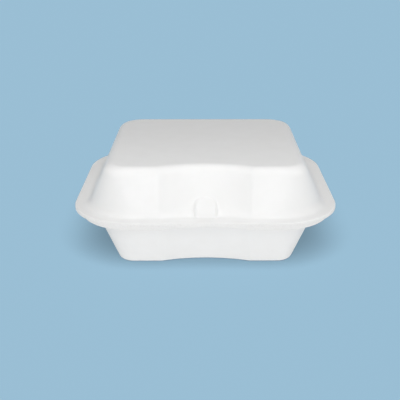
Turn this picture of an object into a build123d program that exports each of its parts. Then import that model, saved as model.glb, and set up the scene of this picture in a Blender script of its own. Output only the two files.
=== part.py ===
from build123d import *
import math
import os

# A hinged-lid food container pressed from one sheet of white foam, shown closed.
# The origin is the middle of the underside, +Z is up, the front faces -Y and the crease is at +Y.

# Overall sizes
overall_width = 212.0
overall_depth = 200.0
base_height = 44.0
lid_height = 39.5
sheet = 2.5

# Lid rim and the foot of the lid walls
lid_rim_thickness = 3.0
lid_rim_side = 11.2
lid_rim_front = 12.4
lid_rim_back = 12.3
rim_front_corner = 51.5
rim_back_corner = 56.0

# Lid walls, which run in from the rim to the roof, and the roof's corners before they are rounded
lid_side_run = 16.8
lid_front_run = 10.0
lid_back_run = 5.5
roof_front_corner = 14.0
roof_back_corner = 18.0
roof_edge_radius = 9.0

# Base rim, which stands back under the lid rim, and the top of the base walls
base_rim_thickness = 3.2
base_side_setback = 6.4
base_front_setback = 0.4
base_rim_side = 9.4
base_rim_front = 13.0
base_rim_back = 12.3
base_wall_corner = 41.0

# Base walls, which run in from the rim to the floor, and the floor's corners before they are rounded
base_side_run = 20.1
base_front_run = 19.4
base_back_run = 19.3
floor_corner = 11.0
floor_edge_radius = 5.0

# Concave scoop in the middle of the front walls, and the panel left between it and a corner of the base
front_panel = 13.7
scoop_edge_radius = 9.0
roof_scoop_depth = 8.0
lid_rim_scoop_depth = 4.0
base_rim_scoop_depth = 5.5
floor_scoop_depth = 6.0

# Rounding of the folds and edges of the sheet
lid_rim_fillet = 6.0
base_rim_fillet = 4.0
mouth_radius = 1.5
rim_edge_radius = 1.0
part_edge_radius = 0.2

# Locking pocket in the lid and the tongue of the base that slips into it
pocket_width = 15.5
pocket_height = 14.5
pocket_depth = 5.0
pocket_top_depth = 1.0
pocket_draft = 30.0
pocket_edge_radius = 2.5
pocket_foot_radius = 1.5
tongue_thickness = 2.2
tongue_edge_radius = 0.8
tongue_clearance = 0.8

# Crease that joins the two halves at the back
crease_film = 0.8
crease_film_run = 1.2
crease_groove_run = 3.5
crease_end_gap = 1.0

# Places worked out from the sizes above
part_line = base_height
total_height = base_height + lid_height
lid_rim_z = part_line + lid_rim_thickness
base_rim_z = part_line - base_rim_thickness
rim_half_width = overall_width / 2
rim_front = overall_depth / 2
fold_line = overall_depth / 2
rim_back = fold_line - crease_film_run
crease_half_length = rim_half_width - rim_back_corner - crease_end_gap
base_wall_half_width = rim_half_width - base_side_setback - base_rim_side
scoop_width = 2 * (base_wall_half_width - base_wall_corner - front_panel)


class Level:
    """A horizontal section: how far it reaches each way, its corners and the scoop in its front."""

    def __init__(self, z, half_width, front, back, front_corner, back_corner, scoop):
        self.z = z
        self.half_width = half_width
        self.front = front
        self.back = back
        self.front_corner = front_corner
        self.back_corner = back_corner
        self.scoop = scoop

    def towards(self, other, z):
        """The section at height z on straight walls that run from this level to another."""
        share = (z - self.z) / (other.z - self.z)

        def mix(name):
            first = getattr(self, name)
            return first + share * (getattr(other, name) - first)

        return Level(z, mix("half_width"), mix("front"), mix("back"),
                     mix("front_corner"), mix("back_corner"), mix("scoop"))

    def inset(self, side, front, back):
        """The same section moved in by the thickness of the wall on each side."""
        return Level(self.z, self.half_width - side, self.front - front, self.back - back,
                     self.front_corner - side, self.back_corner - side, self.scoop)

    def front_edges(self, edge_radius):
        """The front edge from left to right: straight, or with a scoop whose ends are blended."""
        y = -self.front
        left = self.front_corner - self.half_width
        if not self.scoop:
            return [Line((left, y), (-left, y))]
        arc_radius = ((scoop_width / 2) ** 2 + self.scoop ** 2) / (2 * self.scoop)
        reach = arc_radius + edge_radius
        rise = reach - self.scoop
        blend_x = math.sqrt(reach ** 2 - rise ** 2)
        touch_x = blend_x * arc_radius / reach
        touch_y = y + edge_radius * self.scoop / reach
        half_turn = math.atan2(blend_x, rise) / 2
        mid_x = blend_x - edge_radius * math.sin(half_turn)
        mid_y = y + edge_radius * (1 - math.cos(half_turn))
        return [
            Line((left, y), (-blend_x, y)),
            ThreePointArc((-blend_x, y), (-mid_x, mid_y), (-touch_x, touch_y)),
            ThreePointArc((-touch_x, touch_y), (0, y + self.scoop), (touch_x, touch_y)),
            ThreePointArc((touch_x, touch_y), (mid_x, mid_y), (blend_x, y)),
            Line((blend_x, y), (-left, y)),
        ]

    def face(self, edge_radius):
        """The section as a flat face: a rounded rectangle with the front edge above."""
        x = self.half_width
        front = self.front_corner - self.front
        back = self.back - self.back_corner
        x_front = x - self.front_corner
        x_back = x - self.back_corner
        front_bow = self.front_corner * math.sqrt(0.5)
        back_bow = self.back_corner * math.sqrt(0.5)
        edges = self.front_edges(edge_radius) + [
            ThreePointArc((x_front, -self.front), (x_front + front_bow, front - front_bow), (x, front)),
            Line((x, front), (x, back)),
            ThreePointArc((x, back), (x_back + back_bow, back + back_bow), (x_back, self.back)),
            Line((x_back, self.back), (-x_back, self.back)),
            ThreePointArc((-x_back, self.back), (-x_back - back_bow, back + back_bow), (-x, back)),
            Line((-x, back), (-x, front)),
            ThreePointArc((-x, front), (-x_front - front_bow, front - front_bow), (-x_front, -self.front)),
        ]
        return Pos(0, 0, self.z) * Face(Wire(edges))


lid_wall_level = Level(lid_rim_z, rim_half_width - lid_rim_side, rim_front - lid_rim_front,
                       rim_back - lid_rim_back, rim_front_corner - lid_rim_side,
                       rim_back_corner - lid_rim_side, lid_rim_scoop_depth)
roof_level = Level(total_height, lid_wall_level.half_width - lid_side_run,
                   lid_wall_level.front - lid_front_run, lid_wall_level.back - lid_back_run,
                   roof_front_corner, roof_back_corner, roof_scoop_depth)
base_rim_level = Level(base_rim_z, rim_half_width - base_side_setback, rim_front - base_front_setback,
                       rim_back, rim_front_corner - base_side_setback,
                       rim_back_corner - base_side_setback, base_rim_scoop_depth)
base_wall_level = Level(base_rim_z, base_wall_half_width, base_rim_level.front - base_rim_front,
                        rim_back - base_rim_back, base_wall_corner, base_wall_corner, base_rim_scoop_depth)
floor_level = Level(0, base_wall_half_width - base_side_run, base_wall_level.front - base_front_run,
                    base_wall_level.back - base_back_run, floor_corner, floor_corner, floor_scoop_depth)

# Face of the locking pocket, which leans back further than the scooped wall and so fades into it at its top
scoop_foot_y = lid_rim_scoop_depth - lid_wall_level.front
scoop_top_y = roof_scoop_depth - roof_level.front
scoop_slope = (scoop_top_y - scoop_foot_y) / (total_height - lid_rim_z)
pocket_lean = math.atan2(scoop_slope * pocket_height + pocket_depth - pocket_top_depth, pocket_height)
pocket_foot = Vector(0, scoop_foot_y - pocket_depth, lid_rim_z)
pocket_normal = Vector(0, -math.cos(pocket_lean), math.sin(pocket_lean))
pocket_axis = Axis(pocket_foot, pocket_normal)


def edges_at(shape, z):
    """Edges that lie wholly at height z."""
    return shape.edges().filter_by(lambda edge: max(abs(edge.bounding_box().min.Z - z),
                                                    abs(edge.bounding_box().max.Z - z)) < 0.01)


def ring_face(shape, z):
    """The flat face at height z that runs round a half like a picture frame."""
    for face in shape.faces().filter_by(GeomType.PLANE):
        if abs(face.center().Z - z) < 0.01 and face.inner_wires():
            return face


def wall_solids(rim_level, end_level, inner_end_z, edge_radius):
    """Outer form and hollow of a half: straight walls from the mouth to the rounded roof or floor."""
    height = abs(end_level.z - rim_level.z)
    runs = []
    for name in ("half_width", "front", "back"):
        lean = abs(getattr(rim_level, name) - getattr(end_level, name)) / height
        runs.append(sheet * math.hypot(1, lean))
    mouth = rim_level.towards(end_level, part_line)
    inner_end = rim_level.towards(end_level, inner_end_z)
    inner_edge = scoop_edge_radius - sheet
    outer = loft([mouth.face(scoop_edge_radius), end_level.face(scoop_edge_radius)], ruled=True)
    outer = fillet(edges_at(outer, end_level.z), edge_radius)
    hollow = loft([mouth.inset(*runs).face(inner_edge), inner_end.inset(*runs).face(inner_edge)], ruled=True)
    hollow = fillet(edges_at(hollow, inner_end_z), edge_radius - sheet)
    return outer, hollow


def hollowed_half(body, hollow, rim_z):
    """Hollow out walls and rim, then round the mouth and the edges of the rim."""
    body = body - hollow
    body = fillet(ring_face(body, part_line).inner_wires()[0].edges(), mouth_radius)
    body = fillet(ring_face(body, rim_z).outer_wire().edges(), rim_edge_radius)
    return fillet(ring_face(body, part_line).outer_wire().edges(), part_edge_radius)


def arch_face(half_width):
    """A round-topped outline that reaches down past both rims; its arch has the centre of the pocket's."""
    low = (base_rim_z - lid_rim_z) / math.cos(pocket_lean)
    spring = pocket_height / math.cos(pocket_lean) - pocket_width / 2
    return Face(Wire([
        Line((-half_width, low), (half_width, low)),
        Line((half_width, low), (half_width, spring)),
        ThreePointArc((half_width, spring), (0, spring + half_width), (-half_width, spring)),
        Line((-half_width, spring), (-half_width, low)),
    ]))


def pocket_block(inset, thickness, z_low):
    """A block behind the pocket's face, inset from the face and from its drafted sides, above z_low."""
    draft = math.radians(pocket_draft)
    ends = []
    for depth in (inset, inset + thickness):
        half_width = pocket_width / 2 + depth * math.tan(draft) - inset / math.cos(draft)
        plane = Plane(origin=pocket_foot - pocket_normal * depth, x_dir=(1, 0, 0), z_dir=pocket_normal)
        ends.append(plane * arch_face(half_width))
    return split(loft(ends, ruled=True), bisect_by=Plane.XY.offset(z_low), keep=Keep.TOP)


def arch_edges(face):
    """Side and top edges of an upright face."""
    return face.edges().sort_by(Axis.Z)[1:]


def along_crease(points):
    """A bar with the given YZ section that runs the length of the crease."""
    section = Face(Wire.make_polygon([(-crease_half_length, y, z) for y, z in points], close=True))
    return extrude(section, 2 * crease_half_length, dir=(1, 0, 0))


def creased(body, rim_z, side):
    """Press the groove into the back of a rim and leave a thin film that ends on the fold line."""
    z_film = part_line + side * crease_film
    z_clear = 2 * rim_z - part_line
    y_groove = rim_back - crease_groove_run
    groove = along_crease([(y_groove, rim_z), (rim_back, z_film), (fold_line, z_film),
                           (fold_line, z_clear), (y_groove, z_clear)])
    film = along_crease([(y_groove, part_line), (fold_line, part_line),
                         (fold_line, z_film), (y_groove, z_film)])
    return body - groove + film


def make_lid():
    outer, hollow = wall_solids(lid_wall_level, roof_level, total_height - sheet, roof_edge_radius)
    rim_level = Level(part_line, rim_half_width, rim_front, rim_back, rim_front_corner, rim_back_corner, 0)
    body = outer + extrude(rim_level.face(scoop_edge_radius), lid_rim_thickness)
    body = fillet(ring_face(body, lid_rim_z).inner_wires()[0].edges(), lid_rim_fillet)
    bump = pocket_block(0, pocket_depth + sheet, part_line)
    bump = fillet(arch_edges(bump.faces().sort_by(pocket_axis)[-1]), pocket_edge_radius)
    bumped = body + bump
    bumped = fillet(new_edges(body, bump, combined=bumped), pocket_foot_radius)
    body = hollowed_half(bumped, hollow, lid_rim_z)
    body = body - pocket_block(sheet, pocket_depth + sheet, part_line)
    return creased(body, lid_rim_z, 1)


def make_base():
    outer, hollow = wall_solids(base_wall_level, floor_level, sheet, floor_edge_radius)
    body = outer + extrude(base_rim_level.face(scoop_edge_radius), base_rim_thickness)
    body = fillet(ring_face(body, base_rim_z).inner_wires()[0].edges(), base_rim_fillet)
    body = hollowed_half(body, hollow, base_rim_z)
    tongue_inset = sheet + tongue_clearance
    tongue = pocket_block(tongue_inset, tongue_thickness, base_rim_z)
    back_to_front = tongue.faces().sort_by(pocket_axis)
    tongue = fillet(arch_edges(back_to_front[0]) + arch_edges(back_to_front[-1]), tongue_edge_radius)
    return creased(body + tongue, base_rim_z, -1)


os.makedirs("parts", exist_ok=True)
export_step(make_base(), "parts/base_tray.step")
export_step(make_lid(), "parts/hinged_lid.step")
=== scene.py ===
import math

import bmesh
import bpy
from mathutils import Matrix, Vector


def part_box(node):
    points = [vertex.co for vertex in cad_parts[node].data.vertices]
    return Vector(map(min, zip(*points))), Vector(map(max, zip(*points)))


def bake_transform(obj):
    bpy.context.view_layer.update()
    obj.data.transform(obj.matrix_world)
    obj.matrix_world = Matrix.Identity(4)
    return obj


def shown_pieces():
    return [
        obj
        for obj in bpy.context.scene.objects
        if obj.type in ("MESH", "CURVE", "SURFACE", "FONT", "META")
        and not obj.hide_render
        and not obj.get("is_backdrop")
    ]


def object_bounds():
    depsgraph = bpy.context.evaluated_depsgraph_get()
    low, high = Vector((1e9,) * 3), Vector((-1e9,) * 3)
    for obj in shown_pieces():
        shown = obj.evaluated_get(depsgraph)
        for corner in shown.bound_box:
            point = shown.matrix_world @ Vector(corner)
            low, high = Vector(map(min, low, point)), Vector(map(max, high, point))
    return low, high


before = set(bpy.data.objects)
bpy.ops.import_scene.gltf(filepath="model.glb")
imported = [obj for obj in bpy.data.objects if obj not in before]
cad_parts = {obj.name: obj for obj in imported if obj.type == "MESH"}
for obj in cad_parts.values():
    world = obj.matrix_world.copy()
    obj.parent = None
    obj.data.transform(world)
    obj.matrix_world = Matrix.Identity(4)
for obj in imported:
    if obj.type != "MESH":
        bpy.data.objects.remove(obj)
cad_low, cad_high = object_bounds()

# Sizes of the foam sheet that the looks need, in metres
lid_rim_thickness = 0.003
base_rim_thickness = 0.0032
crease_film = 0.0008
crease_half_length = 0.049
fold_bulge = 0.0005

# Camera, as fitted to the outline in a photograph 400 pixels wide
photo_width = 400
focal_length_px = 737.7
principal_point_x = 205.2
camera_distance = 0.6566
camera_elevation = math.radians(20.55)
camera_azimuth = math.radians(-0.2)
camera_target = Vector((0, 0, 0.02867))
sensor_width = 36.0

# Colours, linear
foam_white = (0.90, 0.90, 0.895)
foam_pale = (0.887, 0.887, 0.881)
foam_core = (0.84, 0.84, 0.83)
backdrop_blue = (0.3231, 0.5149, 0.6584)

# Foam skin: scales in features per metre, heights and depths in metres, pairs for low and high ends
cloud_scale = 70.0
cell_scale = 1100.0
ripple_scale = 45.0
cloud_colour_ends = (0.35, 0.7)
cloud_roughness_ends = (0.3, 0.7)
skin_roughness_ends = (0.5, 0.42)
cut_edge_extra_roughness = 0.3
ripple_height = 0.00002
skin_cell_height = 0.00004
skin_cell_strength = 0.25
cut_cell_height = 0.00025
cut_cell_strength = 0.6
cut_edge_softness = 0.0004
cut_edge_facing_ends = (0.5, 0.8)
foam_refraction = 1.45
foam_scatter_share = 0.15
foam_scatter_depth = 0.002
foam_scatter_colour = (1.0, 0.95, 0.9)

# Film at the crease: number of faces round the fold and along it
fold_arc_steps = 12
fold_length_steps = 24

# Light: suns are azimuth, elevation and spread in degrees, and strength
suns = {
    "front_light": (0, 0, 20, 1.72),
    "high_front_light": (0, 33, 8, 0.42),
    "top_light": (0, 88, 40, 0.81),
    "left_fill": (-90, 10, 50, 0.09),
    "right_fill": (90, 10, 50, 0.34),
}
bar_place = Vector((0, -0.10, 0.22))
bar_width = 0.5
bar_depth = 0.06
bar_watts = 0.095
ambient_strength = 0.273

# White light that the table throws at the object
table_glow = 0.78

# The table is dim under a strong sun of its own, so that light off the white object hardly shows on it
table_sun = (0, 47, 46, 29.6)
table_reflectance = 0.08
table_own_light = 0.43

# Table and backdrop, in metres
backdrop_radius = 8.0
backdrop_height = 1.0
backdrop_sides = 64
floor_gap = 0.0002

part_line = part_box("hinged_lid")[0].z
lid_rim_top = part_line + lid_rim_thickness
base_rim_bottom = part_line - base_rim_thickness


class Nodes:
    """Adds nodes to a node tree and links them."""

    def __init__(self, tree):
        self.tree = tree
        tree.nodes.clear()

    def add(self, kind, settings=(), **inputs):
        """A node of a kind; settings are its properties, inputs are values or sockets by name."""
        node = self.tree.nodes.new(kind)
        for name, value in dict(settings).items():
            setattr(node, name, value)
        for name, value in inputs.items():
            self.feed(node.inputs[name.replace("_", " ")], value)
        return node

    def feed(self, socket, value):
        """Set a socket to a constant or link it to another node's socket."""
        if isinstance(value, bpy.types.NodeSocket):
            self.tree.links.new(value, socket)
        else:
            socket.default_value = value

    def math(self, operation, first, second):
        """The result of an operation on two values."""
        node = self.add("ShaderNodeMath", {"operation": operation})
        self.feed(node.inputs[0], first)
        self.feed(node.inputs[1], second)
        return node.outputs[0]

    def ramp(self, value, low, high, low_result=0.0, high_result=1.0):
        """A value spread smoothly from one range onto another."""
        node = self.add("ShaderNodeMapRange", {"interpolation_type": "SMOOTHSTEP"}, Value=value)
        node.inputs["From Min"].default_value = low
        node.inputs["From Max"].default_value = high
        node.inputs["To Min"].default_value = low_result
        node.inputs["To Max"].default_value = high_result
        return node.outputs["Result"]

    def mix(self, share, first, second):
        """Two colours mixed by a share; colour sockets follow those for numbers and vectors."""
        first_colour, second_colour, mixed_colour = 6, 7, 2
        node = self.add("ShaderNodeMix", {"data_type": "RGBA"})
        self.feed(node.inputs[0], share)
        self.feed(node.inputs[first_colour], first)
        self.feed(node.inputs[second_colour], second)
        return node.outputs[mixed_colour]


def opaque(colour):
    """A colour with full cover."""
    return (*colour, 1.0)


def foam_material(name, edge_low, edge_high):
    """Satin foam skin, with the open cells of the cut edge between two heights of the rim."""
    material = bpy.data.materials.new(name)
    material.use_nodes = True
    nodes = Nodes(material.node_tree)
    place = nodes.add("ShaderNodeTexCoord").outputs["Object"]
    normal = nodes.add("ShaderNodeNewGeometry").outputs["Normal"]

    # Cut edge: the outward upright face of the rim
    parts = nodes.add("ShaderNodeSeparateXYZ", Vector=place)
    height = parts.outputs["Z"]
    outward = nodes.add("ShaderNodeVectorMath", {"operation": "NORMALIZE"})
    flat_place = nodes.add("ShaderNodeCombineXYZ", X=parts.outputs["X"], Y=parts.outputs["Y"])
    nodes.feed(outward.inputs[0], flat_place.outputs[0])
    facing = nodes.add("ShaderNodeVectorMath", {"operation": "DOT_PRODUCT"})
    nodes.feed(facing.inputs[0], normal)
    nodes.feed(facing.inputs[1], outward.outputs[0])
    above = nodes.ramp(height, edge_low, edge_low + cut_edge_softness)
    below = nodes.ramp(height, edge_high - cut_edge_softness, edge_high, 1.0, 0.0)
    upright = nodes.ramp(facing.outputs["Value"], *cut_edge_facing_ends)
    cut_edge = nodes.math("MULTIPLY", nodes.math("MULTIPLY", above, below), upright)

    # Skin: cloudy patches, fine cells under the skin and a slow ripple from the press
    clouds = nodes.add("ShaderNodeTexNoise", Vector=place, Scale=cloud_scale, Detail=3.0, Roughness=0.55)
    cells = nodes.add("ShaderNodeTexVoronoi", Vector=place, Scale=cell_scale, Randomness=1.0)
    ripple = nodes.add("ShaderNodeTexNoise", Vector=place, Scale=ripple_scale, Detail=2.0, Roughness=0.4)
    cloud = clouds.outputs["Fac"]
    cell_depth = cells.outputs["Distance"]

    whiteness = nodes.ramp(cloud, *cloud_colour_ends)
    skin = nodes.mix(whiteness, opaque(foam_pale), opaque(foam_white))
    core = nodes.mix(cell_depth, opaque(foam_white), opaque(foam_core))
    colour = nodes.mix(cut_edge, skin, core)
    skin_roughness = nodes.ramp(cloud, *cloud_roughness_ends, *skin_roughness_ends)
    extra_roughness = nodes.math("MULTIPLY", cut_edge, cut_edge_extra_roughness)
    roughness = nodes.math("ADD", skin_roughness, extra_roughness)

    bump_ripple = nodes.add("ShaderNodeBump", Strength=1.0, Distance=ripple_height,
                            Height=ripple.outputs["Fac"])
    bump_skin = nodes.add("ShaderNodeBump", Strength=skin_cell_strength, Distance=skin_cell_height,
                          Height=cell_depth, Normal=bump_ripple.outputs["Normal"])
    edge_height = nodes.math("MULTIPLY", cell_depth, cut_edge)
    bump_edge = nodes.add("ShaderNodeBump", Strength=cut_cell_strength, Distance=cut_cell_height,
                          Height=edge_height, Normal=bump_skin.outputs["Normal"])

    shader = nodes.add("ShaderNodeBsdfPrincipled", Base_Color=colour, Roughness=roughness,
                       Normal=bump_edge.outputs["Normal"], Subsurface_Weight=foam_scatter_share,
                       Subsurface_Scale=foam_scatter_depth, Subsurface_Radius=foam_scatter_colour,
                       IOR=foam_refraction)
    output = nodes.add("ShaderNodeOutputMaterial")
    nodes.feed(output.inputs["Surface"], shader.outputs["BSDF"])
    return material


def dress(piece, material):
    """Give a piece the foam's looks."""
    piece.data.materials.clear()
    piece.data.materials.append(material)


def make_fold(material):
    """The film that bends at the crease: a half-round strip along the fold line."""
    fold_y = cad_high.y
    mesh = bpy.data.meshes.new("living_hinge")
    form = bmesh.new()
    rows = []
    for i in range(fold_length_steps + 1):
        x = crease_half_length * (2 * i / fold_length_steps - 1)
        row = []
        for j in range(fold_arc_steps + 1):
            turn = math.pi * j / fold_arc_steps
            y = fold_y + fold_bulge * math.sin(turn)
            z = part_line - crease_film * math.cos(turn)
            row.append(form.verts.new((x, y, z)))
        row.append(form.verts.new((x, fold_y - fold_bulge, part_line)))
        rows.append(row)
    for first, second in zip(rows, rows[1:]):
        count = len(first)
        for j in range(count):
            k = (j + 1) % count
            form.faces.new((first[j], first[k], second[k], second[j]))
    form.faces.new(rows[0])
    form.faces.new(list(reversed(rows[-1])))
    bmesh.ops.recalc_face_normals(form, faces=form.faces)
    form.to_mesh(mesh)
    form.free()
    strip = bpy.data.objects.new("living_hinge", mesh)
    bpy.context.scene.collection.objects.link(strip)
    for face in mesh.polygons:
        face.use_smooth = len(face.vertices) == 4
    dress(strip, material)
    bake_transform(strip)


def stage_material(name, white_light, blue_light, reflectance):
    """The backdrop's blue, part glowing and part lit by lamps, which throws white light at the object."""
    material = bpy.data.materials.new(name)
    material.use_nodes = True
    nodes = Nodes(material.node_tree)
    path = nodes.add("ShaderNodeLightPath")
    bent = nodes.math("MAXIMUM", path.outputs["Is Glossy Ray"], path.outputs["Is Transmission Ray"])
    seen = nodes.math("MAXIMUM", path.outputs["Is Camera Ray"], bent)
    thrown = nodes.add("ShaderNodeEmission", Strength=white_light)
    glowing = nodes.add("ShaderNodeEmission", Color=opaque(backdrop_blue), Strength=blue_light)
    dim_blue = [reflectance * part for part in backdrop_blue]
    lit = nodes.add("ShaderNodeBsdfDiffuse", Color=opaque(dim_blue))
    shown = nodes.add("ShaderNodeAddShader")
    nodes.feed(shown.inputs[0], glowing.outputs[0])
    nodes.feed(shown.inputs[1], lit.outputs[0])
    blend = nodes.add("ShaderNodeMixShader")
    nodes.feed(blend.inputs[0], seen)
    nodes.feed(blend.inputs[1], thrown.outputs[0])
    nodes.feed(blend.inputs[2], shown.outputs[0])
    output = nodes.add("ShaderNodeOutputMaterial")
    nodes.feed(output.inputs["Surface"], blend.outputs[0])
    return material


def add_stage_piece(name, points, faces, material):
    """A piece of the studio, which isn't part of the object."""
    mesh = bpy.data.meshes.new(name)
    mesh.from_pydata(points, [], faces)
    mesh.materials.append(material)
    piece = bpy.data.objects.new(name, mesh)
    bpy.context.scene.collection.objects.link(piece)
    piece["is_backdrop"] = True
    return piece


def make_stage():
    """A round table and a low backdrop of the same colour round its edge; gives the table."""
    table_z = cad_low.z - floor_gap
    turns = [2 * math.pi * i / backdrop_sides for i in range(backdrop_sides)]
    edge = [(backdrop_radius * math.cos(turn), backdrop_radius * math.sin(turn)) for turn in turns]
    low_edge = [(x, y, table_z) for x, y in edge]
    high_edge = [(x, y, table_z + backdrop_height) for x, y in edge]
    walls = []
    for i in range(backdrop_sides):
        k = (i + 1) % backdrop_sides
        walls.append((i, k, backdrop_sides + k, backdrop_sides + i))
    backdrop = add_stage_piece("backdrop", low_edge + high_edge, walls,
                               stage_material("backdrop", white_light=ambient_strength, blue_light=1.0,
                                              reflectance=0.0))
    backdrop.visible_shadow = False
    return add_stage_piece("floor", low_edge, [tuple(range(backdrop_sides))],
                           stage_material("table", white_light=table_glow, blue_light=table_own_light,
                                          reflectance=table_reflectance))


def make_world():
    """Even white light from all round."""
    world = bpy.data.worlds.new("studio")
    world.use_nodes = True
    nodes = Nodes(world.node_tree)
    light = nodes.add("ShaderNodeBackground", Color=(1, 1, 1, 1), Strength=ambient_strength)
    output = nodes.add("ShaderNodeOutputWorld")
    nodes.feed(output.inputs["Surface"], light.outputs[0])
    bpy.context.scene.world = world


def direction(azimuth, elevation):
    """Unit vector from the object towards the front, turned to +X by azimuth and raised by elevation."""
    return Vector((math.sin(azimuth) * math.cos(elevation),
                   -math.cos(azimuth) * math.cos(elevation), math.sin(elevation)))


def add_lamp(data, towards, receivers):
    """A lamp that shines from a direction and lights only the given pieces."""
    lamp = bpy.data.objects.new(data.name, data)
    lamp.rotation_euler = towards.to_track_quat("Z", "Y").to_euler()
    lamp.light_linking.receiver_collection = receivers
    bpy.context.scene.collection.objects.link(lamp)
    return lamp


def add_sun(name, azimuth, elevation, spread, strength, receivers):
    """A soft sun, with its angles in degrees."""
    data = bpy.data.lights.new(name, "SUN")
    data.energy = strength
    data.angle = math.radians(spread)
    add_lamp(data, direction(math.radians(azimuth), math.radians(elevation)), receivers)


def group(name, pieces):
    """A collection of pieces that a lamp lights."""
    collection = bpy.data.collections.new(name)
    for piece in pieces:
        collection.objects.link(piece)
    return collection


def make_lights(floor):
    """Soft lights from the front, above and the sides, a bar over the roof's front, and the table's own."""
    object_pieces = group("lit_object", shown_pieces())
    for name, values in suns.items():
        add_sun(name, *values, object_pieces)
    add_sun("table_light", *table_sun, group("lit_table", [floor]))
    data = bpy.data.lights.new("bar_light", "AREA")
    data.shape = "RECTANGLE"
    data.size = bar_width
    data.size_y = bar_depth
    data.energy = bar_watts
    bar = add_lamp(data, Vector((0, 0, 1)), object_pieces)
    bar.location = bar_place


def make_camera():
    """The photograph's camera, with the object a little right of the middle."""
    data = bpy.data.cameras.new("camera")
    data.sensor_width = sensor_width
    data.lens = focal_length_px * sensor_width / photo_width
    data.shift_x = (photo_width / 2 - principal_point_x) / photo_width
    camera = bpy.data.objects.new("camera", data)
    back = direction(camera_azimuth, camera_elevation)
    camera.location = camera_target + back * camera_distance
    camera.rotation_euler = back.to_track_quat("Z", "Y").to_euler()
    bpy.context.scene.collection.objects.link(camera)
    bpy.context.scene.camera = camera


bpy.context.scene.view_settings.view_transform = "Standard"
base_foam = foam_material("foam_base", base_rim_bottom, part_line)
lid_foam = foam_material("foam_lid", part_line, lid_rim_top)
dress(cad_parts["base_tray"], base_foam)
dress(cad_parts["hinged_lid"], lid_foam)
make_fold(lid_foam)
make_world()
make_lights(make_stage())
make_camera()
